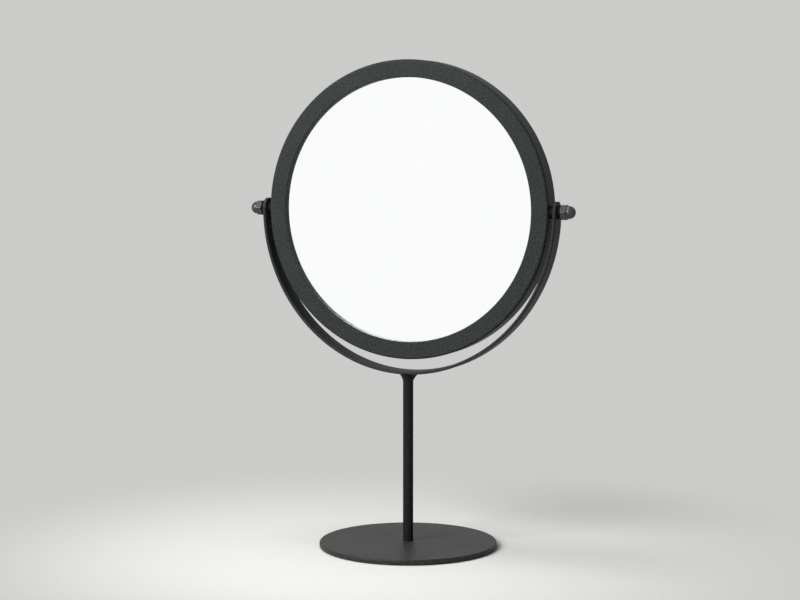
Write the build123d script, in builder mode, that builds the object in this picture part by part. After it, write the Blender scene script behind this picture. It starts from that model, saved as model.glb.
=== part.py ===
"""Round tilting table mirror in a half-round strap yoke, on a rod with a round base.

Millimetres, +Z up. The mirror faces -Y and tilts about a line along X. The origin is the middle of the
footprint, on the table.
"""

import os
from math import cos, radians, sqrt, tan

from build123d import *

os.makedirs("parts", exist_ok=True)

# Base plate, with the foam sheet glued under it
base_radius = 69.2
base_plate_thickness = 3.6
base_top_rounding = 1.2
base_bottom_rounding = 0.4
pad_thickness = 0.8
pad_inset = 2.0

# Countersunk screw from the base plate up into the rod
base_screw_radius = 2.5
base_screw_length = 15.0
base_screw_head_overhang = 2.1
base_screw_head_rim = 0.3
base_screw_tip_chamfer = 0.6
base_screw_socket_flats = 3.0
base_screw_socket_depth = 1.6
base_hole_clearance = 0.2

# Rod, tapped a little deeper than the screw reaches
stem_radius = 4.0
stem_length = 131.3
stem_tapping_spare = 2.0

# Yoke strap, its room round the frame and its weld to the rod
yoke_side_gap = 3.5
yoke_bottom_gap = 9.3
yoke_thickness = 2.5
yoke_width = 16.0
yoke_edge_rounding = 1.1
weld_leg_down = 5.8
weld_leg_out = 4.8
weld_hollow_share = 0.4

# Mirror frame
frame_opening_radius = 101.4
frame_face_width = 13.6
frame_sheet = 1.5
frame_lip_depth = 3.5
frame_front_rounding = 2.0
frame_lip_rounding = 0.8
frame_rear_rounding = 0.8

# Glass and what backs it
glass_overlap = 4.0
glass_thickness = 3.0
glass_edge_chamfer = 0.4
board_thickness = 3.0
board_inset = 0.5
packing_thickness = 5.5

# Back panel, the ears that it screws to and its screws
panel_thickness = 1.0
panel_recess = 2.5
panel_edge_gap = 0.3
panel_edge_rounding = 0.3
ear_count = 4
ear_first_angle = 45.0
ear_width = 14.0
ear_thickness = 2.0
ear_glass_gap = 0.4
panel_screw_radius = 1.5
panel_screw_length = 5.0
panel_screw_head_overhang = 1.25
panel_screw_head_height = 1.6
panel_screw_head_rounding = 0.9
panel_screw_slot_length = 3.0
panel_screw_slot_width = 0.8
panel_screw_slot_depth = 0.8
panel_hole_clearance = 0.2

# Tilting pivot: stud, welded nut, spacer, washer and cap nut on each side
stud_radius = 3.175
stud_chamfer = 0.5
stud_tip_gap = 0.6
nut_sides = 6
nut_wall = 1.825
nut_face_gap = 0.5
nut_chamfer_angle = 30.0
weld_nut_height = 5.0
spacer_wall = 1.825
washer_rim = 1.825
washer_thickness = 2.6
cap_nut_wall = 2.375
cap_nut_hex_height = 4.4
cap_nut_neck = 1.4
cap_nut_dome_step = 0.7
cap_nut_crown = 2.5

# Fits
thread_clearance = 0.05
pivot_clearance = 0.06
frame_hole_clearance = 0.15
spacer_play = 0.05
cut_overrun = 1.0

# Frame sizes that follow from the glass, its backing and the nuts inside the wall
nut_flat_radius = stud_radius + nut_wall
nut_corner_radius = nut_flat_radius / cos(radians(180 / nut_sides))
nut_chamfer = (nut_corner_radius - nut_flat_radius) * tan(radians(nut_chamfer_angle))
frame_radius = frame_opening_radius + frame_face_width
frame_inner_radius = frame_radius - frame_sheet
frame_front = -(frame_sheet + nut_face_gap + nut_flat_radius)
glass_front = frame_front + frame_lip_depth
glass_back = glass_front + glass_thickness
board_back = glass_back + board_thickness
panel_front = board_back + packing_thickness
panel_back = panel_front + panel_thickness
frame_rear = panel_back + panel_recess
glass_radius = frame_opening_radius + glass_overlap
board_radius = glass_radius - board_inset
panel_radius = frame_inner_radius - panel_edge_gap

# Yoke sizes and heights that follow from the frame and the rod
yoke_inner_half_width = frame_radius + yoke_side_gap
yoke_half_width = yoke_inner_half_width + yoke_thickness
yoke_inner_drop = frame_radius + yoke_bottom_gap
yoke_drop = yoke_inner_drop + yoke_thickness
yoke_arm_top = yoke_width / 2
base_top = pad_thickness + base_plate_thickness
base_screw_end = pad_thickness + base_screw_length
base_screw_head_radius = base_screw_radius + base_screw_head_overhang
yoke_bottom = base_top + stem_length
pivot_height = yoke_bottom + yoke_drop
weld_reach = stem_radius + weld_leg_out
weld_rise = yoke_drop * (1 - sqrt(1 - (weld_reach / yoke_half_width) ** 2))
weld_top = yoke_bottom + weld_rise
weld_foot = yoke_bottom - weld_leg_down

# Places of the panel's ears and screws, and of the pieces along each pivot
ear_inner_radius = glass_radius + ear_glass_gap
ear_front = panel_front - ear_thickness
ear_length = frame_inner_radius + cut_overrun - ear_inner_radius
panel_screw_circle = (ear_inner_radius + frame_inner_radius) / 2
panel_screw_head_radius = panel_screw_radius + panel_screw_head_overhang
weld_nut_seat = sqrt(frame_inner_radius**2 - nut_corner_radius**2)
weld_nut_end = weld_nut_seat - weld_nut_height
spacer_radius = stud_radius + spacer_wall
spacer_seat_sag = yoke_inner_half_width * (1 - sqrt(1 - (spacer_radius / yoke_inner_drop) ** 2))
spacer_outer_end = yoke_inner_half_width - spacer_seat_sag - spacer_play
washer_radius = stud_radius + washer_rim
cap_nut_seat = yoke_half_width + washer_thickness
cap_nut_flat_radius = stud_radius + cap_nut_wall
cap_nut_corner_radius = cap_nut_flat_radius / cos(radians(180 / nut_sides))
cap_nut_chamfer = (cap_nut_corner_radius - cap_nut_flat_radius) * tan(radians(nut_chamfer_angle))
cap_nut_dome_radius = cap_nut_flat_radius - cap_nut_dome_step
cap_nut_dome_start = cap_nut_hex_height + cap_nut_neck
cap_nut_height = cap_nut_dome_start + cap_nut_dome_radius
cap_nut_thread_depth = cap_nut_height - cap_nut_crown
stud_end = cap_nut_seat + cap_nut_thread_depth - stud_tip_gap

pivot_axis = Axis((0, 0, pivot_height), (1, 0, 0))
mirror_axis = Axis((0, 0, pivot_height), (0, 1, 0))
yoke_plane = Plane(origin=(0, 0, pivot_height), x_dir=(1, 0, 0), z_dir=(0, -1, 0))
head_section_plane = Plane.XY.offset(pivot_height)


def head_plane(depth):
    """Plane square to the mirror's axis at a depth along Y, facing backwards."""
    return Plane(origin=(0, depth, pivot_height), x_dir=(1, 0, 0), z_dir=(0, 1, 0))


def pivot_plane(side, distance):
    """Plane square to the pivot axis at a distance from the middle, facing outwards."""
    return Plane(origin=(side * distance, 0, pivot_height), x_dir=(0, 1, 0), z_dir=(side, 0, 0))


def pivot_section_plane(side, distance):
    """Plane along the pivot axis, with its own X pointing outwards and its own Y pointing up."""
    return Plane(origin=(side * distance, 0, pivot_height), x_dir=(side, 0, 0), z_dir=(0, -side, 0))


# Foam sheet under the base
with BuildPart() as base_pad:
    with BuildSketch(Plane.XY):
        Circle(base_radius - pad_inset)
    extrude(amount=pad_thickness)
base_pad.part.label = "base_pad"
export_step(base_pad.part, "parts/base_pad.step")

# Base plate with its countersunk hole
with BuildPart() as base_plate:
    with BuildSketch(Plane.XY.offset(pad_thickness)):
        Circle(base_radius)
    extrude(amount=base_plate_thickness)
    fillet(base_plate.edges().group_by(Axis.Z)[-1], base_top_rounding)
    fillet(base_plate.edges().group_by(Axis.Z)[0], base_bottom_rounding)
    with BuildSketch(Plane.XZ):
        with BuildLine():
            hole_radius = base_screw_radius + base_hole_clearance
            hole_mouth = base_screw_head_radius + base_hole_clearance
            hole_cone_start = pad_thickness + base_screw_head_rim
            hole_cone_end = hole_cone_start + hole_mouth - hole_radius
            Polyline(
                (0, pad_thickness),
                (hole_mouth, pad_thickness),
                (hole_mouth, hole_cone_start),
                (hole_radius, hole_cone_end),
                (hole_radius, base_top),
                (0, base_top),
                close=True,
            )
        make_face()
    revolve(axis=Axis.Z, mode=Mode.SUBTRACT)
base_plate.part.label = "base_plate"
export_step(base_plate.part, "parts/base_plate.step")

# Countersunk screw, flush with the plate's underside
with BuildPart() as base_screw:
    with BuildSketch(Plane.XZ):
        with BuildLine():
            cone_start = pad_thickness + base_screw_head_rim
            cone_end = cone_start + base_screw_head_radius - base_screw_radius
            Polyline(
                (0, pad_thickness),
                (base_screw_head_radius, pad_thickness),
                (base_screw_head_radius, cone_start),
                (base_screw_radius, cone_end),
                (base_screw_radius, base_screw_end - base_screw_tip_chamfer),
                (base_screw_radius - base_screw_tip_chamfer, base_screw_end),
                (0, base_screw_end),
                close=True,
            )
        make_face()
    revolve(axis=Axis.Z)
    with BuildSketch(Plane.XY.offset(pad_thickness)):
        RegularPolygon(base_screw_socket_flats / 2, nut_sides, major_radius=False)
    extrude(amount=base_screw_socket_depth, mode=Mode.SUBTRACT)
base_screw.part.label = "base_screw"
export_step(base_screw.part, "parts/base_screw.step")

# Rod, tapped at its foot and shaped to the strap at its top
with BuildPart() as stem_rod:
    with BuildSketch(Plane.XY.offset(base_top)):
        Circle(stem_radius)
    extrude(amount=weld_top - base_top)
    with BuildSketch(yoke_plane):
        Ellipse(yoke_half_width, yoke_drop)
    extrude(amount=yoke_width, both=True, mode=Mode.SUBTRACT)
    with BuildSketch(Plane.XY.offset(base_top)):
        Circle(base_screw_radius + thread_clearance)
    extrude(amount=base_screw_end + stem_tapping_spare - base_top, mode=Mode.SUBTRACT)
stem_rod.part.label = "stem_rod"
export_step(stem_rod.part, "parts/stem_rod.step")

# Hollow weld bead round the top of the rod, against the strap
with BuildPart() as yoke_weld:
    with BuildSketch(Plane.XZ):
        with BuildLine():
            Line((stem_radius, weld_foot), (stem_radius, weld_top))
            Line((stem_radius, weld_top), (weld_reach, weld_top))
            weld_hollow = (
                stem_radius + weld_hollow_share * weld_leg_out,
                weld_top - weld_hollow_share * (weld_top - weld_foot),
            )
            ThreePointArc((weld_reach, weld_top), weld_hollow, (stem_radius, weld_foot))
        make_face()
    revolve(axis=Axis.Z)
    with BuildSketch(yoke_plane):
        Ellipse(yoke_half_width, yoke_drop)
    extrude(amount=yoke_width, both=True, mode=Mode.SUBTRACT)
yoke_weld.part.label = "yoke_weld"
export_step(yoke_weld.part, "parts/yoke_weld.step")

# Strap bent to a half ellipse, with straight full-round ends above the pivot
with BuildPart() as yoke_strap:
    with BuildSketch(yoke_plane):
        with BuildLine():
            EllipticalCenterArc((0, 0), yoke_half_width, yoke_drop, start_angle=180, arc_size=180)
            EllipticalCenterArc((0, 0), yoke_inner_half_width, yoke_inner_drop, start_angle=180, arc_size=180)
            for side in (-1, 1):
                Polyline(
                    (side * yoke_half_width, 0),
                    (side * yoke_half_width, yoke_arm_top),
                    (side * yoke_inner_half_width, yoke_arm_top),
                    (side * yoke_inner_half_width, 0),
                )
        make_face()
    extrude(amount=yoke_width / 2, both=True)
    with BuildSketch(Plane.YZ.offset(-yoke_half_width)):
        with Locations((0, pivot_height)):
            Circle(yoke_width / 2)
            Rectangle(yoke_width, yoke_drop, align=(Align.CENTER, Align.MAX))
    extrude(amount=yoke_half_width * 2, mode=Mode.INTERSECT)
    bent_edges = yoke_strap.edges().filter_by(GeomType.ELLIPSE)
    end_edges = yoke_strap.edges().filter_by(GeomType.CIRCLE)
    fillet(bent_edges + end_edges, yoke_edge_rounding)
    with BuildSketch(Plane.YZ.offset(-yoke_half_width)):
        with Locations((0, pivot_height)):
            Circle(stud_radius + pivot_clearance)
    extrude(amount=yoke_half_width * 2, mode=Mode.SUBTRACT)
yoke_strap.part.label = "yoke_strap"
export_step(yoke_strap.part, "parts/yoke_strap.step")

# Pressed frame: deep wall, flat face and a lip turned back to the glass
with BuildPart() as frame_ring:
    with BuildSketch(head_section_plane) as frame_section:
        with BuildLine():
            Polyline(
                (frame_opening_radius, frame_front),
                (frame_radius, frame_front),
                (frame_radius, frame_rear),
                (frame_inner_radius, frame_rear),
                (frame_inner_radius, frame_front + frame_sheet),
                (frame_opening_radius + frame_sheet, frame_front + frame_sheet),
                (frame_opening_radius + frame_sheet, glass_front),
                (frame_opening_radius, glass_front),
                close=True,
            )
        make_face()
        fillet(frame_section.vertices().group_by(Axis.X)[-1].sort_by(Axis.Y)[0], frame_front_rounding)
        fillet(frame_section.vertices().group_by(Axis.X)[-1].sort_by(Axis.Y)[-1], frame_rear_rounding)
        fillet(frame_section.vertices().group_by(Axis.X)[0].sort_by(Axis.Y)[0], frame_lip_rounding)
    revolve(axis=mirror_axis)
    with BuildSketch(Plane.YZ.offset(-frame_radius)):
        with Locations((0, pivot_height)):
            Circle(stud_radius + frame_hole_clearance)
    extrude(amount=frame_radius * 2, mode=Mode.SUBTRACT)
frame_ring.part.label = "frame_ring"
export_step(frame_ring.part, "parts/frame_ring.step")

# Silvered glass with seamed edges
with BuildPart() as mirror_glass:
    with BuildSketch(head_plane(glass_front)):
        Circle(glass_radius)
    extrude(amount=glass_thickness)
    chamfer(mirror_glass.edges().filter_by(GeomType.CIRCLE), glass_edge_chamfer)
mirror_glass.part.label = "mirror_glass"
export_step(mirror_glass.part, "parts/mirror_glass.step")

# Hardboard disc behind the glass
with BuildPart() as backing_board:
    with BuildSketch(head_plane(glass_back)):
        Circle(board_radius)
    extrude(amount=board_thickness)
backing_board.part.label = "backing_board"
export_step(backing_board.part, "parts/backing_board.step")

# Cardboard disc that fills the room between the board and the back panel
with BuildPart() as packing_disc:
    with BuildSketch(head_plane(board_back)):
        Circle(board_radius)
    extrude(amount=packing_thickness)
packing_disc.part.label = "packing_disc"
export_step(packing_disc.part, "parts/packing_disc.step")

# Back panel, let into the frame's wall
with BuildPart() as back_panel:
    with BuildSketch(head_plane(panel_front)):
        Circle(panel_radius)
        with PolarLocations(panel_screw_circle, ear_count, start_angle=ear_first_angle):
            Circle(panel_screw_radius + panel_hole_clearance, mode=Mode.SUBTRACT)
    extrude(amount=panel_thickness)
    rim = back_panel.edges().group_by(Axis.Y)[-1].sort_by(SortBy.RADIUS)[-1]
    fillet(rim, panel_edge_rounding)
back_panel.part.label = "back_panel"
export_step(back_panel.part, "parts/back_panel.step")

# Ears inside the wall and the screws that hold the panel to them
for ear in range(ear_count):
    angle = ear_first_angle + 360 / ear_count * ear

    with BuildPart() as frame_ear:
        with BuildSketch(head_plane(ear_front)):
            with PolarLocations(ear_inner_radius, 1, start_angle=angle):
                Rectangle(ear_length, ear_width, align=(Align.MIN, Align.CENTER))
            Circle(frame_inner_radius, mode=Mode.INTERSECT)
            with PolarLocations(panel_screw_circle, 1, start_angle=angle):
                Circle(panel_screw_radius + thread_clearance, mode=Mode.SUBTRACT)
        extrude(amount=ear_thickness)
    frame_ear.part.label = f"frame_ear_{ear + 1}"
    export_step(frame_ear.part, f"parts/frame_ear_{ear + 1}.step")

    with BuildPart() as panel_screw:
        with BuildSketch(head_plane(panel_back)):
            with PolarLocations(panel_screw_circle, 1, start_angle=angle):
                Circle(panel_screw_head_radius)
        extrude(amount=panel_screw_head_height)
        fillet(panel_screw.edges().group_by(Axis.Y)[-1], panel_screw_head_rounding)
        with BuildSketch(head_plane(panel_back - panel_screw_length)):
            with PolarLocations(panel_screw_circle, 1, start_angle=angle):
                Circle(panel_screw_radius)
        extrude(amount=panel_screw_length)
        with BuildSketch(head_plane(panel_back + panel_screw_head_height - panel_screw_slot_depth)):
            with PolarLocations(panel_screw_circle, 1, start_angle=angle):
                Rectangle(panel_screw_slot_length, panel_screw_slot_width)
                Rectangle(panel_screw_slot_width, panel_screw_slot_length)
        extrude(amount=panel_screw_slot_depth, mode=Mode.SUBTRACT)
    panel_screw.part.label = f"panel_screw_{ear + 1}"
    export_step(panel_screw.part, f"parts/panel_screw_{ear + 1}.step")

# Pivot on each side, from the nut inside the wall out to the cap nut
for side, side_name in ((-1, "left"), (1, "right")):
    with BuildPart() as weld_nut:
        with BuildSketch(pivot_plane(side, weld_nut_end)):
            RegularPolygon(nut_flat_radius, nut_sides, major_radius=False, rotation=90)
            Circle(stud_radius + thread_clearance, mode=Mode.SUBTRACT)
        extrude(amount=weld_nut_height)
    weld_nut.part.label = f"{side_name}_weld_nut"
    export_step(weld_nut.part, f"parts/{side_name}_weld_nut.step")

    with BuildPart() as pivot_stud:
        with BuildSketch(pivot_plane(side, weld_nut_end)):
            Circle(stud_radius)
        extrude(amount=stud_end - weld_nut_end)
        chamfer(pivot_stud.edges().filter_by(GeomType.CIRCLE), stud_chamfer)
    pivot_stud.part.label = f"{side_name}_pivot_stud"
    export_step(pivot_stud.part, f"parts/{side_name}_pivot_stud.step")

    with BuildPart() as spacer:
        with BuildSketch(pivot_plane(side, frame_radius)):
            Circle(spacer_radius)
            Circle(stud_radius + pivot_clearance, mode=Mode.SUBTRACT)
        extrude(amount=spacer_outer_end - frame_radius)
    spacer.part.label = f"{side_name}_spacer"
    export_step(spacer.part, f"parts/{side_name}_spacer.step")

    with BuildPart() as washer:
        with BuildSketch(pivot_plane(side, yoke_half_width)):
            Circle(washer_radius)
            Circle(stud_radius + pivot_clearance, mode=Mode.SUBTRACT)
        extrude(amount=washer_thickness)
    washer.part.label = f"{side_name}_washer"
    export_step(washer.part, f"parts/{side_name}_washer.step")

    with BuildPart() as cap_nut:
        with BuildSketch(pivot_section_plane(side, cap_nut_seat)):
            with BuildLine():
                Polyline(
                    (cap_nut_height, 0),
                    (0, 0),
                    (0, cap_nut_flat_radius),
                    (cap_nut_chamfer, cap_nut_corner_radius),
                    (cap_nut_hex_height - cap_nut_chamfer, cap_nut_corner_radius),
                    (cap_nut_hex_height, cap_nut_dome_radius),
                    (cap_nut_dome_start, cap_nut_dome_radius),
                )
                CenterArc((cap_nut_dome_start, 0), cap_nut_dome_radius, start_angle=0, arc_size=90)
            make_face()
        revolve(axis=pivot_axis)
        with BuildSketch(pivot_plane(side, cap_nut_seat)):
            RegularPolygon(cap_nut_flat_radius, nut_sides, major_radius=False, rotation=90)
        extrude(amount=cap_nut_height, mode=Mode.INTERSECT)
        with BuildSketch(pivot_plane(side, cap_nut_seat)):
            Circle(stud_radius + thread_clearance)
        extrude(amount=cap_nut_thread_depth, mode=Mode.SUBTRACT)
    cap_nut.part.label = f"{side_name}_cap_nut"
    export_step(cap_nut.part, f"parts/{side_name}_cap_nut.step")
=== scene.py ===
"""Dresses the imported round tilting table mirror: its meshes, finishes, floor, light and camera.

Shapes are worked out in millimetres, and every finished mesh is in metres. The mirror faces -Y and tilts about
a line along X. The origin is the middle of the footprint, on the floor.
"""

import logging
import math
from dataclasses import dataclass
from enum import Enum
from typing import Any, Callable, ClassVar, Mapping, Optional, Sequence, Union

import bmesh
import bpy
from mathutils import Matrix, Vector


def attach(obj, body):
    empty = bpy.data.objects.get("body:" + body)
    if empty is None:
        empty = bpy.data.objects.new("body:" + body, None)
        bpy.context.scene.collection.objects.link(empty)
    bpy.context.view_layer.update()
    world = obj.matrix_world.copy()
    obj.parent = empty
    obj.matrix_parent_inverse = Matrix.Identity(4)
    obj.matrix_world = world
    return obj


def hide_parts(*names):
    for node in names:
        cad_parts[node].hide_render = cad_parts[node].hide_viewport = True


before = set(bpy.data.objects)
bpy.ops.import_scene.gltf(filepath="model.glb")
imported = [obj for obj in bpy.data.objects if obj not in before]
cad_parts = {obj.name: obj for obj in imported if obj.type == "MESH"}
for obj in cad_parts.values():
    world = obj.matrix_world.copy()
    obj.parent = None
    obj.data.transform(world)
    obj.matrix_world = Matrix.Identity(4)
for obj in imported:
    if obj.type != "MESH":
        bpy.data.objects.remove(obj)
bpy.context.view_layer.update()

MM = 0.001
TINY = 1e-6
TURN = 2 * math.pi
QUARTER = math.pi / 2
SHARP_ANGLE = math.radians(40)
NOISE_MIDDLE = 0.5

log = logging.getLogger("mirror")

Colour = tuple[float, float, float]
Point = tuple[float, float]
Ring = Callable[[float], Point]
Key = Union[int, str]
Sockets = Mapping[Key, Any]


class Body(Enum):
    """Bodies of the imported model."""

    STAND = "stand"
    HEAD = "mirror_head"


class Slot(Enum):
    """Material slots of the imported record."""

    COAT = "black_powder_coat"
    BASE_COAT = "base_powder_coat"
    FOAM = "pad_foam"
    SILVER = "mirror_silver"
    HARDWARE = "black_hardware"
    NYLON = "nylon"


class Facing(Enum):
    """Where the axis of a turned shape points."""

    UP = ((1, 0, 0), (0, 1, 0), (0, 0, 1))
    BACK = ((1, 0, 0), (0, 0, 1), (0, -1, 0))
    RIGHT = ((0, 0, 1), (1, 0, 0), (0, 1, 0))

    def matrix(self, origin: Sequence[float] = (0, 0, 0)) -> Matrix:
        """Turns a shape's own Z axis this way, moves it by millimetres and scales it to metres."""
        return Matrix.Scale(MM, 4) @ Matrix.Translation(origin) @ Matrix(self.value).to_4x4()


class MathOp(Enum):
    """Operations of a Math node."""

    ADD = "ADD"
    SUBTRACT = "SUBTRACT"
    MULTIPLY = "MULTIPLY"
    DIVIDE = "DIVIDE"
    SINE = "SINE"
    COSINE = "COSINE"
    SQRT = "SQRT"


class Wire:
    """A node's output, which adds Math nodes when it is used in an expression."""

    def __init__(self, graph: "Graph", socket: bpy.types.NodeSocket) -> None:
        """Keeps the graph and the socket."""
        self.graph = graph
        self.socket = socket

    def __add__(self, other: "Value") -> "Wire":
        """Sum."""
        return self.graph.math(MathOp.ADD, self, other)

    def __sub__(self, other: "Value") -> "Wire":
        """Difference."""
        return self.graph.math(MathOp.SUBTRACT, self, other)

    def __rsub__(self, other: "Value") -> "Wire":
        """Difference from a number."""
        return self.graph.math(MathOp.SUBTRACT, other, self)

    def __mul__(self, other: "Value") -> "Wire":
        """Product."""
        return self.graph.math(MathOp.MULTIPLY, self, other)

    def __truediv__(self, other: "Value") -> "Wire":
        """Quotient."""
        return self.graph.math(MathOp.DIVIDE, self, other)

    def __rtruediv__(self, other: "Value") -> "Wire":
        """Quotient of a number."""
        return self.graph.math(MathOp.DIVIDE, other, self)

    __radd__ = __add__
    __rmul__ = __mul__


Value = Union[Wire, float]


class Graph:
    """A node tree, with one way to add any node."""

    def __init__(self, tree: bpy.types.NodeTree) -> None:
        """Keeps the tree."""
        self.tree = tree

    @staticmethod
    def pick(sockets: Sequence[bpy.types.NodeSocket], key: Key) -> bpy.types.NodeSocket:
        """Finds a socket.

        Args:
            sockets: a node's inputs or outputs.
            key: the socket's place, identifier or name.

        Returns:
            The socket.
        """
        if isinstance(key, int):
            return sockets[key]
        named = [s for s in sockets if s.enabled and key in (s.identifier, s.name)]
        return named[0]

    def feed(self, node: bpy.types.Node, sockets: Sockets) -> None:
        """Sets or links inputs of a node.

        Args:
            node: the node.
            sockets: a value or a wire for each input that isn't left as it is.
        """
        for key, value in sockets.items():
            target = self.pick(node.inputs, key)
            if isinstance(value, Wire):
                self.tree.links.new(value.socket, target)
            else:
                target.default_value = value

    def node(self, kind: str, sockets: Optional[Sockets] = None, **settings: Any) -> bpy.types.Node:
        """Adds a node.

        Args:
            kind: Blender's name for the node's type.
            sockets: values or wires for its inputs.
            **settings: properties of the node, set before its sockets.

        Returns:
            The node.
        """
        made = self.tree.nodes.new(kind)
        for name, value in settings.items():
            setattr(made, name, value)
        self.feed(made, sockets or {})
        return made

    def out(self, node: bpy.types.Node, key: Key = 0) -> Wire:
        """Wraps a node's output."""
        return Wire(self, self.pick(node.outputs, key))

    def wire(self, kind: str, sockets: Optional[Sockets] = None, out: Key = 0, **settings: Any) -> Wire:
        """Adds a node, as node() does, and gives the output that is wanted."""
        return self.out(self.node(kind, sockets, **settings), out)

    def math(self, operation: MathOp, *values: Value) -> Wire:
        """Adds a Math node on wires or numbers."""
        return self.wire("ShaderNodeMath", dict(enumerate(values)), operation=operation.value)

    def vector(self, x: Value = 0.0, y: Value = 0.0, z: Value = 0.0) -> Wire:
        """Joins three values to a vector."""
        return self.wire("ShaderNodeCombineXYZ", {0: x, 1: y, 2: z})


class SurfaceGraph(Graph):
    """The nodes of a material or a world, with the textures that the finishes share."""

    GRAIN_SPAN: ClassVar[Point] = (0.34, 0.66)
    PAINTED_GLINT_CORE: ClassVar[float] = 0.6

    @classmethod
    def emptied(cls, owner: Union[bpy.types.Material, bpy.types.World]) -> "SurfaceGraph":
        """Empties the node tree of a material or a world.

        Args:
            owner: the material or world.

        Returns:
            Its graph.
        """
        owner.use_nodes = True
        owner.node_tree.nodes.clear()
        return cls(owner.node_tree)

    def place(self) -> Wire:
        """Object coordinates, in metres."""
        return self.wire("ShaderNodeTexCoord", out="Object")

    def part(self, vector: Wire, axis: str) -> Wire:
        """One coordinate of a vector."""
        return self.wire("ShaderNodeSeparateXYZ", {0: vector}, axis)

    def ramp(self, value: Wire, start: float, end: float, **settings: Any) -> Wire:
        """Maps a value to run from 0 at the start to 1 at the end."""
        return self.wire("ShaderNodeMapRange", {"Value": value, "From Min": start, "From Max": end}, **settings)

    def noise(self, size: float, detail: float = 2.0, stretch: Sequence[float] = (1, 1, 1)) -> Wire:
        """Adds a noise, about 0.5 in the middle, of a grain size in millimetres, finer along an axis by its stretch."""
        where = self.wire("ShaderNodeMapping", {"Vector": self.place(), "Scale": stretch})
        return self.wire("ShaderNodeTexNoise", {"Vector": where, "Scale": 1 / (size * MM), "Detail": detail})

    def grains(self, size: float) -> Wire:
        """Adds a noise of a size in millimetres, stretched to run from 0 to 1."""
        return self.ramp(self.noise(size), *self.GRAIN_SPAN)

    def painted_glints(self, size: float, gap: float) -> Wire:
        """Adds round spots of painted glint, 1 inside and 0 around, of a largest radius and about a gap apart, in
        millimetres.
        """
        middles = self.wire("ShaderNodeTexVoronoi", {"Vector": self.place(), "Scale": 1 / (gap * MM)})
        return self.ramp(middles, size / gap, self.PAINTED_GLINT_CORE * size / gap)

    def cells(self, size: float) -> Wire:
        """Adds rounded cells of a size in millimetres, and gives the distance from their middles."""
        sockets = {"Vector": self.place(), "Scale": 1 / (size * MM)}
        return self.wire("ShaderNodeTexVoronoi", sockets, feature="SMOOTH_F1")

    def between(self, low: Colour, high: Colour, share: Wire) -> Wire:
        """Mixes two colours, the low one where the share is 0 and the high one where it is 1."""
        sockets = {"Factor_Float": share, "A_Color": (*low, 1), "B_Color": (*high, 1)}
        return self.wire("ShaderNodeMix", sockets, "Result_Color", data_type="RGBA", clamp_factor=False)

    @staticmethod
    def blend(first: Wire, second: Wire, share: float) -> Wire:
        """Adds two values, the first one by its share and the second by the rest."""
        return first * share + second * (1 - share)

    def relief(self, height: Wire, depth: float) -> Wire:
        """Turns a height from 0 to 1 into a bumped normal, with a depth in millimetres."""
        return self.wire("ShaderNodeBump", {"Height": height, "Distance": depth * MM}, "Normal")


@dataclass(frozen=True)
class Finish:
    """A finish, which makes its material when it is first asked for.

    Its colour runs from dark to light, and its roughness rises by the uneven share. Lengths are in millimetres, and
    detail is the number of octaves in its main noise.
    """

    name: str
    dark: Colour
    light: Colour
    roughness: float = 0.0
    uneven: float = 0.0
    depth: float = 0.0
    detail: float = 3.0

    def dress(self, graph: SurfaceGraph) -> Sockets:
        """Adds the finish's textures to a graph, and gives what the shader's sockets take."""
        raise NotImplementedError

    def skin(self, graph: SurfaceGraph, share: Wire, sheen: Wire, height: Wire) -> Sockets:
        """Gives the sockets that most finishes feed.

        Args:
            graph: the nodes of the material.
            share: how light the colour is.
            sheen: how much of the unevenness is added to the roughness.
            height: the height of the relief.

        Returns:
            What the sockets take.
        """
        return {
            "Base Color": graph.between(self.dark, self.light, share),
            "Roughness": self.roughness + sheen * self.uneven,
            "Normal": graph.relief(height, self.depth),
        }

    def material(self) -> bpy.types.Material:
        """Makes the finish's material, unless it is there already.

        Returns:
            The material.
        """
        made = bpy.data.materials.get(self.name)
        if made is None:
            made = bpy.data.materials.new(self.name)
            graph = SurfaceGraph.emptied(made)
            shader = graph.node("ShaderNodeBsdfPrincipled")
            graph.node("ShaderNodeOutputMaterial", {"Surface": graph.out(shader)})
            graph.feed(shader, self.dress(graph))
        return made


@dataclass(frozen=True)
class PowderCoat(Finish):
    """Matt black powder coat with a fine grain, and with painted glints, pale spots in its colour, above a given
    height.
    """

    name: str = "satin_black_coat"
    dark: Colour = (0.0245, 0.0258, 0.0256)
    light: Colour = (0.057, 0.0600, 0.0595)
    roughness: float = 0.38
    uneven: float = 0.10
    depth: float = 0.06
    specular: float = 0.03
    grain: float = 1.0
    grain_share: float = 0.8
    grain_sheen: float = 1.2
    pebble_scale: float = 1.7
    pebble_share: float = 0.4
    cloud: float = 30.0
    cloud_share: float = 0.3
    # Painted glints: pale spots in the colour that stand in for glints of light.
    painted_glint: float = 0.42
    painted_glint_gap: float = 1.25
    painted_glint_share: float = 0.7
    painted_glint_foot: float = -1000.0
    painted_glint_fade: float = 0.3

    def dress(self, graph: SurfaceGraph) -> Sockets:
        """Adds the grain, painted glints as pale spots, faint clouds in the colour and an uneven sheen.

        Args:
            graph: the nodes of the material.

        Returns:
            What the shader's sockets take.
        """
        grain = graph.grains(self.grain)
        pebble = graph.cells(self.grain * self.pebble_scale)
        cloud = graph.noise(self.cloud) - NOISE_MIDDLE
        height = graph.part(graph.place(), "Z")
        # Pale spots painted into the colour stand in for glints of light, kept above the given height.
        above = graph.ramp(height, self.painted_glint_foot * MM, (self.painted_glint_foot + self.painted_glint_fade) * MM)
        painted_glint = graph.painted_glints(self.painted_glint, self.painted_glint_gap) * above
        share = grain * grain * self.grain_share + cloud * self.cloud_share + painted_glint * self.painted_glint_share
        sheen = (grain - NOISE_MIDDLE) * self.grain_sheen + cloud
        relief = graph.blend(pebble, grain, self.pebble_share)
        return {**self.skin(graph, share, sheen, relief), "Specular IOR Level": self.specular}


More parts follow.
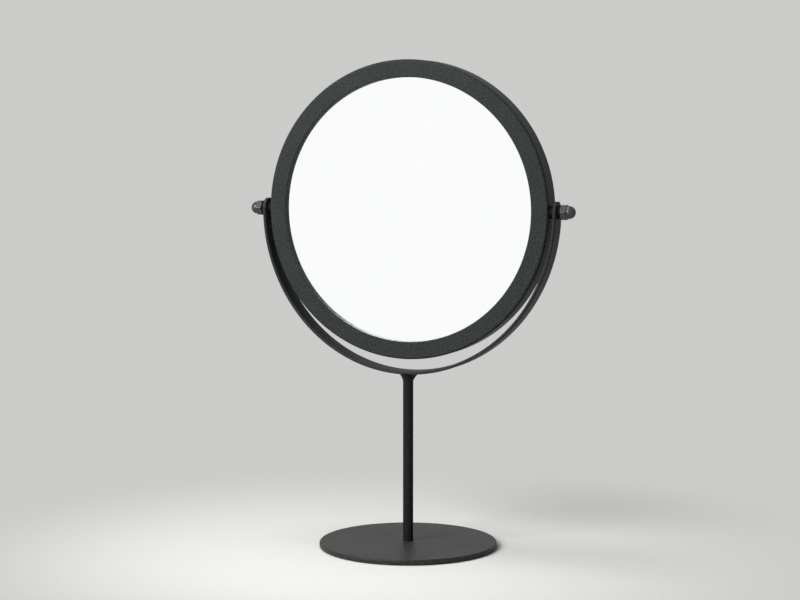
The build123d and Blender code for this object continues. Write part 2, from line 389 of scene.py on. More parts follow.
@dataclass(frozen=True)
class SilveredGlass(Finish):
    """Silvered mirror glass, all but clean: light where it is clear and dark where it is hazed."""

    name: str = "silvered_glass"
    dark: Colour = (0.945, 0.955, 0.953)
    light: Colour = (0.965, 0.972, 0.970)
    haze: float = 45.0

    def dress(self, graph: SurfaceGraph) -> Sockets:
        """Adds a trace of haze to a clear reflection."""
        colour = graph.between(self.light, self.dark, graph.noise(self.haze, self.detail))
        return {"Base Color": colour, "Roughness": self.roughness, "Metallic": 1.0}


@dataclass(frozen=True)
class BlackedHardware(Finish):
    """Half-gloss black on nuts and screws."""

    name: str = "half_gloss_black"
    dark: Colour = (0.012, 0.012, 0.013)
    light: Colour = (0.034, 0.035, 0.036)
    roughness: float = 0.24
    uneven: float = 0.16
    depth: float = 0.02
    specular: float = 0.4
    patch: float = 1.6
    grain: float = 0.35
    grain_share: float = 0.5
    coat: float = 0.3
    coat_roughness: float = 0.2

    def dress(self, graph: SurfaceGraph) -> Sockets:
        """Adds thin patches in the black and small dents in its gloss.

        Args:
            graph: the nodes of the material.

        Returns:
            What the shader's sockets take.
        """
        patch = graph.noise(self.patch, self.detail)
        relief = graph.blend(graph.noise(self.grain), patch, self.grain_share)
        return {
            **self.skin(graph, patch, patch, relief),
            "Specular IOR Level": self.specular,
            "Coat Weight": patch * self.coat,
            "Coat Roughness": self.coat_roughness,
        }


@dataclass(frozen=True)
class ZincPlate(Finish):
    """Bright zinc on the steel inside."""

    name: str = "bright_zinc"
    dark: Colour = (0.46, 0.47, 0.48)
    light: Colour = (0.68, 0.69, 0.68)
    roughness: float = 0.26
    uneven: float = 0.2
    depth: float = 0.015
    cloud: float = 2.5
    lines: float = 0.25

    def dress(self, graph: SurfaceGraph) -> Sockets:
        """Adds cloudy plating with fine turning lines."""
        cloud, lines = graph.noise(self.cloud, self.detail), graph.noise(self.lines)
        return {**self.skin(graph, cloud, lines, lines), "Metallic": 1.0}


@dataclass(frozen=True)
class PressedFibre(Finish):
    """Brown hardboard, or the paper of the packing card."""

    roughness: float = 0.74
    uneven: float = 0.2
    depth: float = 0.08
    detail: float = 5.0
    fibre: float = 0.6
    fibre_share: float = 0.6
    stretch: Sequence[float] = (1, 1, 1)
    blotch_scale: float = 14.0

    def dress(self, graph: SurfaceGraph) -> Sockets:
        """Adds fibres and blotches.

        Args:
            graph: the nodes of the material.

        Returns:
            What the shader's sockets take.
        """
        fibre = graph.noise(self.fibre, self.detail, self.stretch)
        share = graph.blend(fibre, graph.noise(self.fibre * self.blotch_scale), self.fibre_share)
        return self.skin(graph, share, fibre, fibre)


@dataclass(frozen=True)
class FoamSheet(Finish):
    """Dark closed-cell foam with small open cells on its skin."""

    name: str = "closed_cell_foam"
    dark: Colour = (0.014, 0.014, 0.015)
    light: Colour = (0.042, 0.042, 0.044)
    roughness: float = 0.8
    uneven: float = 0.15
    depth: float = 0.12
    detail: float = 4.0
    cell: float = 0.9
    cell_share: float = 0.5
    bloom: float = 9.0

    def dress(self, graph: SurfaceGraph) -> Sockets:
        """Adds the cells and a dusty bloom."""
        cell, bloom = graph.cells(self.cell), graph.noise(self.bloom, self.detail)
        return self.skin(graph, graph.blend(cell, bloom, self.cell_share), bloom, 1 - cell)


@dataclass(frozen=True)
class MouldedNylon(Finish):
    """Black moulded nylon."""

    name: str = "moulded_nylon"
    dark: Colour = (0.002, 0.002, 0.002)
    light: Colour = (0.005, 0.005, 0.005)
    roughness: float = 0.6
    uneven: float = 0.15
    depth: float = 0.02
    specular: float = 0.1
    flow: float = 1.2

    def dress(self, graph: SurfaceGraph) -> Sockets:
        """Adds a dull, lightly flowed skin."""
        flow = graph.noise(self.flow, self.detail)
        return {**self.skin(graph, flow, flow, flow), "Specular IOR Level": self.specular}


COAT = PowderCoat()
# A darker copy of the black coat for the rod: painted shade, as it is the frame's paint.
SHADED_STEM_COAT = PowderCoat("shaded_stem_coat", (0.010, 0.0102, 0.0098), (0.027, 0.0276, 0.0265))
# The weld bead's copy: rougher and coarser, with the rod's darker colours as painted shade.
SHADED_WELD_COAT = PowderCoat("shaded_weld_coat", SHADED_STEM_COAT.dark, SHADED_STEM_COAT.light, roughness=0.5, depth=0.1, grain=0.8)
BASE_COAT = PowderCoat(
    "grained_black_coat",
    (0.013, 0.013, 0.0125),
    (0.046, 0.046, 0.044),
    roughness=0.46,
    depth=0.10,
    specular=0.17,
    grain=1.3,
    # Painted glints, on the top face only.
    painted_glint=0.55,
    painted_glint_gap=1.5,
    painted_glint_share=1.5,
    painted_glint_foot=4.0,
)
SILVER = SilveredGlass()
HARDWARE = BlackedHardware()
ZINC = ZincPlate()
BOARD = PressedFibre("brown_hardboard", (0.13, 0.065, 0.03), (0.27, 0.15, 0.075))
CARD = PressedFibre("packing_card", (0.30, 0.20, 0.11), (0.46, 0.33, 0.20), fibre=0.9, stretch=(1, 1, 0.12))
FOAM = FoamSheet()
NYLON = MouldedNylon()


@dataclass(frozen=True)
class Corner:
    """A corner of a turned section: its distance from the axis, place along it and rounding, in millimetres."""

    out: float
    along: float
    rounding: float = 0.0


class Shell:
    """Closed skins of rings round an axis, in millimetres."""

    ARC_STEPS: ClassVar[int] = 8

    @staticmethod
    def band(reach: Point, span: Point, rounding: Point) -> list[Corner]:
        """Gives the section of a disc or a ring.

        Args:
            reach: its inner and outer radius.
            span: its two ends along the axis.
            rounding: the rounding of its outer edge at each end.

        Returns:
            The section's corners in order.
        """
        (inner, outer), (start, end) = reach, span
        edges = [Corner(outer, start, rounding[0]), Corner(outer, end, rounding[1])]
        return [Corner(inner, start), *edges, Corner(inner, end)]

    @classmethod
    def rounded(cls, corners: Sequence[Corner]) -> list[Point]:
        """Replaces the rounded corners of a closed section by arcs.

        Args:
            corners: the section's corners in order.

        Returns:
            The section's points in order.
        """
        points: list[Point] = []
        for i, corner in enumerate(corners):
            here = Vector((corner.out, corner.along))
            if corner.rounding < TINY:
                points.append(tuple(here))
                continue
            before, after = corners[i - 1], corners[(i + 1) % len(corners)]
            to_before = (Vector((before.out, before.along)) - here).normalized()
            to_after = (Vector((after.out, after.along)) - here).normalized()
            half = to_before.angle(to_after) / 2
            middle = here + (to_before + to_after).normalized() * (corner.rounding / math.sin(half))
            reach = corner.rounding / math.tan(half)
            start, end = here + to_before * reach - middle, here + to_after * reach - middle
            sweep = start.angle_signed(end)
            for step in range(cls.ARC_STEPS + 1):
                turn = Matrix.Rotation(-sweep * step / cls.ARC_STEPS, 2)
                points.append(tuple(middle + turn @ start))
        return points

    @staticmethod
    def skin(rings: Sequence[Ring], steps: int) -> bmesh.types.BMesh:
        """Joins rings to a closed skin. A ring on the axis becomes a single point.

        Args:
            rings: for each ring, its distance from the axis and place along it at an angle.
            steps: how many faces go round.

        Returns:
            The skin, about its own Z axis.
        """
        skin = bmesh.new()
        angles = [TURN * i / steps for i in range(steps)]
        loops = []
        for ring in rings:
            places = [(*ring(a), a) for a in angles]
            if max(out for out, _, _ in places) < TINY:
                loops.append([skin.verts.new((0, 0, places[0][1]))] * steps)
                continue
            loops.append([skin.verts.new((o * math.cos(a), o * math.sin(a), h)) for o, h, a in places])
        for low, high in zip(loops, loops[1:] + loops[:1]):
            for i in range(steps):
                face = list(dict.fromkeys((low[i - 1], low[i], high[i], high[i - 1])))
                if len(face) > 2:
                    skin.faces.new(face)
        return skin


class SocketKind(Enum):
    """Kinds of input of a Geometry Nodes tree."""

    FLOAT = "NodeSocketFloat"
    INT = "NodeSocketInt"
    MATERIAL = "NodeSocketMaterial"
    GEOMETRY = "NodeSocketGeometry"


class GrowthTree(Graph):
    """A Geometry Nodes tree with named inputs, which ends in Realize Instances and Set Material."""

    def __init__(self, name: str, finish: Finish) -> None:
        """Starts the tree.

        Args:
            name: the tree's name.
            finish: the finish that its result takes.
        """
        super().__init__(bpy.data.node_groups.new(name, "GeometryNodeTree"))
        for way in ("OUTPUT", "INPUT"):
            self.tree.interface.new_socket("Geometry", in_out=way, socket_type=SocketKind.GEOMETRY.value)
        self.source = self.node("NodeGroupInput")
        self.geometry = self.out(self.source, "Geometry")
        self.values: dict[str, Any] = {}
        self.finish = self.add("Finish", SocketKind.MATERIAL, finish.material())

    def add(self, name: str, kind: SocketKind, value: Any) -> Wire:
        """Adds a named input.

        Args:
            name: the input's name.
            kind: its kind.
            value: what the modifier sets it to.

        Returns:
            The input as a wire.
        """
        socket = self.tree.interface.new_socket(name, in_out="INPUT", socket_type=kind.value)
        self.values[socket.identifier] = value
        return self.out(self.source, socket.identifier)

    def length(self, name: str, millimetres: float) -> Wire:
        """Adds a named length, given in millimetres."""
        return self.add(name, SocketKind.FLOAT, millimetres * MM)

    def rotation(self, x: Value = 0.0, y: Value = 0.0, z: Value = 0.0) -> Wire:
        """Joins turns about X, Y and Z to a rotation."""
        return self.wire("FunctionNodeEulerToRotation", {0: self.vector(x, y, z)})

    def copies(self, points: Wire, turn: Wire) -> Wire:
        """Sets a copy of the object's own mesh on each point, turned by a rotation."""
        sockets = {"Points": points, "Instance": self.geometry, "Rotation": turn}
        return self.wire("GeometryNodeInstanceOnPoints", sockets)

    def grow(self, obj: bpy.types.Object, geometry: Wire) -> None:
        """Ends the tree, runs it on an object and leaves the result there as a plain mesh.

        Args:
            obj: the object, whose mesh goes in as the tree's geometry.
            geometry: what the tree has made.
        """
        real = self.wire("GeometryNodeRealizeInstances", {"Geometry": geometry})
        dressed = self.wire("GeometryNodeSetMaterial", {"Geometry": real, "Material": self.finish})
        self.node("NodeGroupOutput", {"Geometry": dressed})
        modifier = obj.modifiers.new(self.tree.name, "NODES")
        modifier.node_group = self.tree
        for identifier, value in self.values.items():
            modifier[identifier] = value
        Workshop.apply(obj)


class Workshop:
    """Turns skins into finished pieces that ride on their bodies."""

    @staticmethod
    def put(name: str, data: bpy.types.ID) -> bpy.types.Object:
        """Puts an object into the scene.

        Args:
            name: its name.
            data: its mesh, light or camera.

        Returns:
            The object.
        """
        obj = bpy.data.objects.new(name, data)
        bpy.context.scene.collection.objects.link(obj)
        return obj

    @staticmethod
    def apply(obj: bpy.types.Object) -> None:
        """Puts an object's modifiers into a plain mesh.

        Args:
            obj: the object.
        """
        graph = bpy.context.evaluated_depsgraph_get()
        made = bpy.data.meshes.new_from_object(obj.evaluated_get(graph), depsgraph=graph)
        obj.modifiers.clear()
        obj.data = made
        made.name = obj.name

    @classmethod
    def raw(cls, name: str, skin: bmesh.types.BMesh, place: Matrix, finish: Finish) -> bpy.types.Object:
        """Makes an object of a skin.

        Args:
            name: the object's name.
            skin: the skin, which is used up.
            place: from the skin's millimetres to the model's metres.
            finish: its finish.

        Returns:
            The object.
        """
        bmesh.ops.transform(skin, matrix=place, verts=skin.verts)
        bmesh.ops.recalc_face_normals(skin, faces=skin.faces)
        mesh = bpy.data.meshes.new(name)
        skin.to_mesh(mesh)
        skin.free()
        mesh.materials.append(finish.material())
        return cls.put(name, mesh)

    @classmethod
    def turned(
        cls, name: str, section: Sequence[Corner], steps: int, place: Matrix, finish: Finish
    ) -> bpy.types.Object:
        """Turns a closed section in a number of steps to an object, placed and finished as in raw()."""
        rings = [lambda _, p=p: p for p in Shell.rounded(section)]
        return cls.raw(name, Shell.skin(rings, steps), place, finish)

    @classmethod
    def cut(cls, obj: bpy.types.Object, cutter: bpy.types.Object) -> None:
        """Cuts one object out of another.

        Args:
            obj: the object that is cut.
            cutter: the other one, which is removed.
        """
        cut = obj.modifiers.new("cut", "BOOLEAN")
        cut.object = cutter
        cut.solver = "EXACT"
        cls.apply(obj)
        bpy.data.objects.remove(cutter)

    @classmethod
    def finish(cls, obj: bpy.types.Object, body: Body, slot: Slot, *nodes: str) -> None:
        """Smooths a piece, sets it on its body and hides the imported nodes that it stands for.

        Args:
            obj: the piece.
            body: the body that it rides on.
            slot: the record's slot; not used.
            *nodes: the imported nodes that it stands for.
        """
        obj.data.shade_smooth()
        obj.data.set_sharp_from_angle(angle=SHARP_ANGLE)
        weights = obj.modifiers.new("weights", "WEIGHTED_NORMAL")
        weights.keep_sharp = True
        cls.apply(obj)
        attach(obj, body.value)
        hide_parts(*nodes)
        log.info("%s: %d faces on %s", obj.name, len(obj.data.polygons), body.value)

    @staticmethod
    def dress(finish: Finish, *nodes: str) -> None:
        """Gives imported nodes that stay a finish.

        Args:
            finish: the finish.
            *nodes: the nodes' names.
        """
        for name in nodes:
            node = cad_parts[name]
            node.data.materials.clear()
            node.data.materials.append(finish.material())
            log.info("%s: packed shape in %s", name, finish.name)


PIVOT_HEIGHT = 262.5


@dataclass
class BaseFoot:
    """Round base plate on its foam sheet."""

    radius: float = 69.2
    pad_thickness: float = 0.8
    pad_inset: float = 2.0
    pad_rounding: float = 0.15
    top: float = 4.4
    top_rounding: float = 1.2
    bottom_rounding: float = 0.4
    hole_radius: float = 2.7
    hole_mouth: float = 4.8
    hole_rim: float = 0.3
    steps: int = 224

    def plate(self) -> None:
        """Turns the plate with its countersunk hole."""
        cone_start = self.pad_thickness + self.hole_rim
        cone_end = cone_start + self.hole_mouth - self.hole_radius
        section = [
            Corner(self.hole_mouth, self.pad_thickness),
            Corner(self.radius, self.pad_thickness, self.bottom_rounding),
            Corner(self.radius, self.top, self.top_rounding),
            Corner(self.hole_radius, self.top),
            Corner(self.hole_radius, cone_end),
            Corner(self.hole_mouth, cone_start),
        ]
        made = Workshop.turned("coated_base", section, self.steps, Facing.UP.matrix(), BASE_COAT)
        Workshop.finish(made, Body.STAND, Slot.BASE_COAT, "base_plate")

    def pad(self) -> None:
        """Turns the foam sheet."""
        reach = (0, self.radius - self.pad_inset)
        section = Shell.band(reach, (0, self.pad_thickness), (self.pad_rounding, self.pad_rounding))
        made = Workshop.turned("foam_foot", section, self.steps, Facing.UP.matrix(), FOAM)
        Workshop.finish(made, Body.STAND, Slot.FOAM, "base_pad")

    def build(self) -> None:
        """Builds the base."""
        self.plate()
        self.pad()
        Workshop.dress(ZINC, "base_screw")


@dataclass
class YokeStand:
    """Rod, weld bead and the strap bent to a half ellipse."""

    rod_radius: float = 4.0
    rod_foot: float = 4.4
    rod_foot_rounding: float = 0.2
    rod_steps: int = 64
    half_width: float = 121.0
    drop: float = 126.8
    width: float = 16.0
    thickness: float = 2.5
    edge_rounding: float = 1.1
    edge_steps: int = 4
    hole_radius: float = 3.235
    hole_steps: int = 48
    drill_reach: float = 3.0
    path_points: int = 241
    arm_share: float = 0.1
    arm_rise: float = 0.99
    weld_leg_down: float = 5.8
    weld_leg_left: float = 3.6
    weld_leg_right: float = 6.0
    weld_inner_share: float = 0.97
    weld_hollow: float = 0.28
    weld_ripple: float = 0.05
    weld_ripples: int = 19
    weld_swells: int = 7
    weld_swell_share: float = 0.6
    weld_swell_start: float = 1.3
    weld_steps: int = 152
    weld_rows: int = 14

    def underside(self, across: float) -> float:
        """Height of the strap's outer face at a distance from the middle."""
        return PIVOT_HEIGHT - self.drop * math.sqrt(1 - (across / self.half_width) ** 2)

    def rod(self) -> None:
        """Turns the rod, from the base plate up into the weld."""
        span = (self.rod_foot, self.underside(self.rod_radius))
        section = Shell.band((0, self.rod_radius), span, (self.rod_foot_rounding, 0))
        # The rod takes the darker copy of the coat, painted shade.
        made = Workshop.turned("coated_rod", section, self.rod_steps, Facing.UP.matrix(), SHADED_STEM_COAT)
        Workshop.finish(made, Body.STAND, Slot.COAT, "stem_rod")

    def weld_row(self, share: float) -> Ring:
        """Gives one ring of the weld bead.

        Args:
            share: 0 at the foot of the bead, on the rod, and 1 at the strap.

        Returns:
            The ring.
        """
        foot = self.underside(0) - self.weld_leg_down
        mean, swing = (self.weld_leg_right + self.weld_leg_left) / 2, self.weld_leg_right - self.weld_leg_left

        def ring(angle: float) -> Point:
            """Finds the bead's skin.

            Args:
                angle: the angle round the rod.

            Returns:
                Its distance from the axis, and its height.
            """
            side = math.cos(angle)
            leg = mean + swing / 2 * side
            top = self.underside((self.rod_radius + leg) * side) + self.edge_rounding / 2
            knee = Vector((self.weld_hollow * leg, (1 - self.weld_hollow) * (top - foot)))
            place = 2 * share * (1 - share) * knee + share**2 * Vector((leg, top - foot))
            swell = self.weld_swell_share * math.sin(self.weld_swells * angle + self.weld_swell_start)
            wave = math.sin(self.weld_ripples * angle) + swell
            rise = self.weld_ripple * wave * math.sin(math.pi * share)
            return self.rod_radius + place.x + rise, foot + place.y - rise

        return ring

    def weld(self) -> None:
        """Makes the rippled bead between the rod and the strap."""
        rows = [self.weld_row(i / self.weld_rows) for i in range(self.weld_rows + 1)]
        inner, middle = self.rod_radius * self.weld_inner_share, self.underside(0)
        rows.append(lambda _: (inner, middle + self.edge_rounding / 2))
        rows.append(lambda _: (inner, middle - self.weld_leg_down))
        # The bead takes the darker copy of the coat, painted shade under the strap.
        made = Workshop.raw("weld_bead", Shell.skin(rows, self.weld_steps), Facing.UP.matrix(), SHADED_WELD_COAT)
        Workshop.finish(made, Body.STAND, Slot.COAT, "yoke_weld")

    def strap(self) -> None:
        """Sweeps the strap's section along its bend, rounds its ends and drills them."""
        tree = GrowthTree("bent_strap", COAT)
        thickness = tree.length("Thickness", self.thickness)
        half_width = tree.length("Half Width", self.half_width) - thickness * 0.5
        drop = tree.length("Drop", self.drop) - thickness * 0.5
        width = tree.length("Width", self.width)
        rounding = tree.length("Edge Rounding", self.edge_rounding)
        height = tree.length("Pivot Height", PIVOT_HEIGHT)
        hole = tree.length("Hole Radius", self.hole_radius)
        arm_share = tree.add("Arm Share", SocketKind.FLOAT, self.arm_share)
        count = tree.add("Path Points", SocketKind.INT, self.path_points)

        def clamped(value: Wire) -> Wire:
            """Keeps a value between 0 and 1."""
            return tree.wire("ShaderNodeClamp", {"Value": value})

        line = tree.wire("GeometryNodeCurvePrimitiveLine", {"End": (1, 0, 0)})
        path = tree.wire("GeometryNodeResampleCurve", {"Curve": line, "Count": count})
        along = tree.wire("GeometryNodeSplineParameter", out="Factor")
        angle = clamped((along - arm_share) / (1 - arm_share * 2)) * math.pi + math.pi
        left, right = clamped(1 - along / arm_share), clamped(1 - (1 - along) / arm_share)
        rise = tree.math(MathOp.SINE, (left + right) * (QUARTER * self.arm_rise)) * width * 0.5
        across = tree.math(MathOp.COSINE, angle) * half_width
        bend = tree.vector(across, z=tree.math(MathOp.SINE, angle) * drop + rise)
        path = tree.wire("GeometryNodeSetPosition", {"Geometry": path, "Position": bend})
        path = tree.wire("GeometryNodeSetCurveNormal", {"Curve": path, "Normal": (0, 1, 0)}, mode="FREE")
        bar = tree.wire("GeometryNodeCurvePrimitiveQuadrilateral", {"Width": width, "Height": thickness})
        edges = {"Curve": bar, "Radius": rounding, "Count": self.edge_steps}
        bar = tree.wire("GeometryNodeFilletCurve", edges, mode="POLY")
        strap = tree.wire("GeometryNodeCurveToMesh", {"Curve": path, "Profile Curve": bar, "Fill Caps": True})
        spot = tree.node("ShaderNodeSeparateXYZ", {0: tree.wire("GeometryNodeInputPosition")})
        x, y, z = (tree.out(spot, i) for i in range(3))
        lift = clamped(z / (width * 0.5))
        narrow = tree.vector(x, y * tree.math(MathOp.SQRT, 1 - lift * lift), z + height)
        strap = tree.wire("GeometryNodeSetPosition", {"Geometry": strap, "Position": narrow})
        sizes = {"Vertices": self.hole_steps, "Radius": hole, "Depth": half_width * self.drill_reach}
        drill = tree.wire("GeometryNodeMeshCylinder", sizes)
        aimed = {"Geometry": drill, "Rotation": (0, QUARTER, 0), "Translation": tree.vector(z=height)}
        drill = tree.wire("GeometryNodeTransform", aimed)
        strap = tree.wire("GeometryNodeMeshBoolean", {"Mesh 1": strap, "Mesh 2": drill})
        made = Workshop.raw("coated_strap", bmesh.new(), Matrix(), COAT)
        tree.grow(made, strap)
        Workshop.finish(made, Body.STAND, Slot.COAT, "yoke_strap")

    def build(self) -> None:
        """Builds the stand above the base."""
        self.rod()
        self.weld()
        self.strap()


@dataclass
class MirrorHead:
    """Frame, glass, back panel and what they close in."""

    opening_radius: float = 101.4
    radius: float = 115.0
    sheet: float = 1.5
    front: float = -7.0
    glass_front: float = -3.5
    glass_back: float = -0.5
    panel_front: float = 8.0
    panel_back: float = 9.0
    rear: float = 11.5
    front_rounding: float = 2.0
    lip_rounding: float = 0.8
    rear_rounding: float = 0.8
    glass_radius: float = 105.4
    glass_chamfer: float = 0.4
    panel_radius: float = 113.2
    panel_rounding: float = 0.3
    steps: int = 288
    screw_count: int = 4
    screw_circle: float = 109.65
    screw_first_angle: float = 45.0
    screw_radius: float = 1.5
    screw_length: float = 5.0
    screw_head_radius: float = 2.75
    screw_head_height: float = 1.6
    screw_head_rounding: float = 0.9
    recess_length: float = 3.0
    recess_width: float = 0.8
    recess_depth: float = 0.8
    screw_steps: int = 48
    screw_seed: int = 4

    def turn(self, name: str, section: Sequence[Corner], finish: Finish) -> bpy.types.Object:
        """Turns a section about the mirror's axis, with its places along Y from the pivot."""
        return Workshop.turned(name, section, self.steps, Facing.BACK.matrix((0, 0, PIVOT_HEIGHT)), finish)

    def ring(self) -> None:
        """Turns the frame: flat face, deep wall and the lip turned back to the glass."""
        wall, web = self.radius - self.sheet, self.front + self.sheet
        section = [
            Corner(self.opening_radius, self.front, self.lip_rounding),
            Corner(self.radius, self.front, self.front_rounding),
            Corner(self.radius, self.rear, self.rear_rounding),
            Corner(wall, self.rear),
            Corner(wall, web),
            Corner(self.opening_radius + self.sheet, web),
            Corner(self.opening_radius + self.sheet, self.glass_front),
            Corner(self.opening_radius, self.glass_front),
        ]
        made = self.turn("coated_frame", section, COAT)
        Workshop.finish(made, Body.HEAD, Slot.COAT, "frame_ring")

    def glass(self) -> None:
        """Turns the glass with its seamed edges."""
        edge = self.glass_radius - self.glass_chamfer
        section = [
            Corner(0, self.glass_front),
            Corner(edge, self.glass_front),
            Corner(self.glass_radius, self.glass_front + self.glass_chamfer),
            Corner(self.glass_radius, self.glass_back - self.glass_chamfer),
            Corner(edge, self.glass_back),
            Corner(0, self.glass_back),
        ]
        made = self.turn("mirror_plate", section, SILVER)
        Workshop.finish(made, Body.HEAD, Slot.SILVER, "mirror_glass")

    def panel(self) -> None:
        """Turns the back panel."""
        span = (self.panel_front, self.panel_back)
        made = self.turn("rear_panel", Shell.band((0, self.panel_radius), span, (0, self.panel_rounding)), COAT)
        Workshop.finish(made, Body.HEAD, Slot.COAT, "back_panel")

    def one_screw(self) -> bpy.types.Object:
        """Makes one pan-head screw with a cross recess, its seat at the origin and its head along +Y.

        Returns:
            The screw.
        """
        section = [
            Corner(0, -self.screw_length),
            Corner(self.screw_radius, -self.screw_length),
            Corner(self.screw_radius, 0),
            Corner(self.screw_head_radius, 0),
            Corner(self.screw_head_radius, self.screw_head_height, self.screw_head_rounding),
            Corner(0, self.screw_head_height),
        ]
        place = Facing.BACK.matrix()
        screw = Workshop.turned("rear_screws", section, self.screw_steps, place, HARDWARE)
        for size in ((self.recess_length, self.recess_width), (self.recess_width, self.recess_length)):
            block = bmesh.new()
            bmesh.ops.create_cube(block, size=1)
            scale = Matrix.Diagonal((*size, 2 * self.recess_depth, 1))
            lift = Matrix.Translation((0, 0, self.screw_head_height))
            Workshop.cut(screw, Workshop.raw("recess", block, place @ lift @ scale, HARDWARE))
        return screw

    def screws(self) -> None:
        """Sets the screws on their circle, each turned its own way."""
        made = self.one_screw()
        tree = GrowthTree("screw_circle", HARDWARE)
        count = tree.add("Count", SocketKind.INT, self.screw_count)
        circle = tree.length("Circle Radius", self.screw_circle)
        depth = tree.length("Depth", self.panel_back)
        height = tree.length("Pivot Height", PIVOT_HEIGHT)
        first = tree.add("First Angle", SocketKind.FLOAT, math.radians(self.screw_first_angle))
        seed = tree.add("Seed", SocketKind.INT, self.screw_seed)
        points = tree.wire("GeometryNodeMeshCircle", {"Vertices": count, "Radius": circle})
        points = tree.wire("GeometryNodeTransform", {"Geometry": points, "Rotation": tree.vector(z=first)})
        stood = {"Geometry": points, "Rotation": (QUARTER, 0, 0), "Translation": tree.vector(y=depth, z=height)}
        points = tree.wire("GeometryNodeTransform", stood)
        turn = tree.wire("FunctionNodeRandomValue", {"Max": QUARTER, "Seed": seed}, "Value", data_type="FLOAT")
        tree.grow(made, tree.copies(points, tree.rotation(y=turn)))
        names = [f"panel_screw_{i + 1}" for i in range(self.screw_count)]
        Workshop.finish(made, Body.HEAD, Slot.HARDWARE, *names)

    def build(self) -> None:
        """Builds the mirror head."""
        self.ring()
        self.glass()
        self.panel()
        self.screws()
        Workshop.dress(BOARD, "backing_board")
        Workshop.dress(CARD, "packing_disc")
        Workshop.dress(COAT, *(f"frame_ear_{i + 1}" for i in range(self.screw_count)))


@dataclass
class TiltPivot:
    """Spacer, washer and cap nut on each side, with the stud and welded nut inside."""

    wall: float = 115.0
    arm: float = 121.0
    bore: float = 3.235
    spacer_radius: float = 5.0
    spacer_length: float = 3.35
    washer_radius: float = 5.0
    washer_thickness: float = 2.6
    tube_rounding: float = 0.2
    nut_flat: float = 5.55
    nut_sides: int = 6
    nut_corner_rounding: float = 0.35
    nut_chamfer_slope: float = math.tan(math.radians(30))
    hex_height: float = 4.4
    neck_radius: float = 4.85
    neck_rounding: float = 0.25
    neck_steps: int = 4
    dome_start: float = 5.8
    dome_rows: int = 14
    bore_depth: float = 8.15
    steps: int = 96

    def pair(self, obj: bpy.types.Object, finish: Finish, reach: float) -> None:
        """Copies a shape that points along +X to both ends of the pivot, the left one turned half round.

        Args:
            obj: the shape, made at the origin, which becomes the pair.
            finish: its finish.
            reach: distance of the two from the middle, in millimetres.
        """
        tree = GrowthTree(f"{obj.name}_pair", finish)
        out = tree.length("Reach", reach)
        height = tree.length("Pivot Height", PIVOT_HEIGHT)
        ends = {"Count": 2, "Start Location": tree.vector(0 - out, z=height), "Offset": tree.vector(out, z=height)}
        points = tree.wire("GeometryNodeMeshLine", ends, mode="END_POINTS")
        half_turn = (1 - tree.wire("GeometryNodeInputIndex")) * math.pi
        tree.grow(obj, tree.copies(points, tree.rotation(z=half_turn)))

    def tube(self, name: str, radius: float, length: float) -> bpy.types.Object:
        """Makes a nylon ring on the stud, with rounded outer edges, along +X from the origin."""
        section = Shell.band((self.bore, radius), (0, length), (self.tube_rounding, self.tube_rounding))
        return Workshop.turned(name, section, self.steps, Facing.RIGHT.matrix(), NYLON)

    def hexagon(self, angle: float) -> float:
        """Finds the side of the nut, with its corners rounded.

        Args:
            angle: the angle round the nut's axis.

        Returns:
            The side's distance from the axis.
        """
        sector = TURN / self.nut_sides
        off = abs((angle + sector / 2) % sector - sector / 2)
        middle = (self.nut_flat - self.nut_corner_rounding) / math.cos(sector / 2)
        limit = math.atan2(middle * math.sin(sector / 2), self.nut_flat)
        if sector / 2 - off > limit:
            return middle * math.cos(off) + math.sqrt(self.nut_corner_rounding**2 - (middle * math.sin(off)) ** 2)
        return self.nut_flat / math.cos(sector / 2 - off)

    def cap(self) -> bpy.types.Object:
        """Makes one cap nut along +X from the origin: chamfered hexagon, neck and dome.

        Returns:
            The nut.
        """

        def chamfer(angle: float) -> float:
            """Depth of the chamfer at an angle."""
            return (self.hexagon(angle) - self.nut_flat) * self.nut_chamfer_slope

        def level(out: float, along: float) -> Ring:
            """A plain round ring."""
            return lambda _: (out, along)

        rings: list[Ring] = [
            level(0, self.bore_depth),
            level(self.bore, self.bore_depth),
            level(self.bore, 0),
            level(self.nut_flat, 0),
            lambda a: (self.hexagon(a), chamfer(a)),
            lambda a: (self.hexagon(a), self.hex_height - chamfer(a)),
        ]
        for step in range(self.neck_steps + 1):
            turn = QUARTER * step / self.neck_steps
            out = self.neck_radius + self.neck_rounding * (1 - math.sin(turn))
            rings.append(level(out, self.hex_height + self.neck_rounding * (1 - math.cos(turn))))
        for row in range(self.dome_rows + 1):
            turn = QUARTER * row / self.dome_rows
            out = self.neck_radius * math.cos(turn) if row < self.dome_rows else 0.0
            rings.append(level(out, self.dome_start + self.neck_radius * math.sin(turn)))
        return Workshop.raw("pivot_caps", Shell.skin(rings, self.steps), Facing.RIGHT.matrix(), HARDWARE)

    def build(self) -> None:
        """Builds both ends of the pivot."""
        spacers = self.tube("pivot_spacers", self.spacer_radius, self.spacer_length)
        self.pair(spacers, NYLON, self.wall)
        Workshop.finish(spacers, Body.HEAD, Slot.NYLON, "left_spacer", "right_spacer")
        washers = self.tube("pivot_washers", self.washer_radius, self.washer_thickness)
        self.pair(washers, NYLON, self.arm)
        Workshop.finish(washers, Body.HEAD, Slot.NYLON, "left_washer", "right_washer")
        caps = self.cap()
        self.pair(caps, HARDWARE, self.arm + self.washer_thickness)
        Workshop.finish(caps, Body.HEAD, Slot.HARDWARE, "left_cap_nut", "right_cap_nut")
        Workshop.dress(ZINC, "left_pivot_stud", "right_pivot_stud", "left_weld_nut", "right_weld_nut")


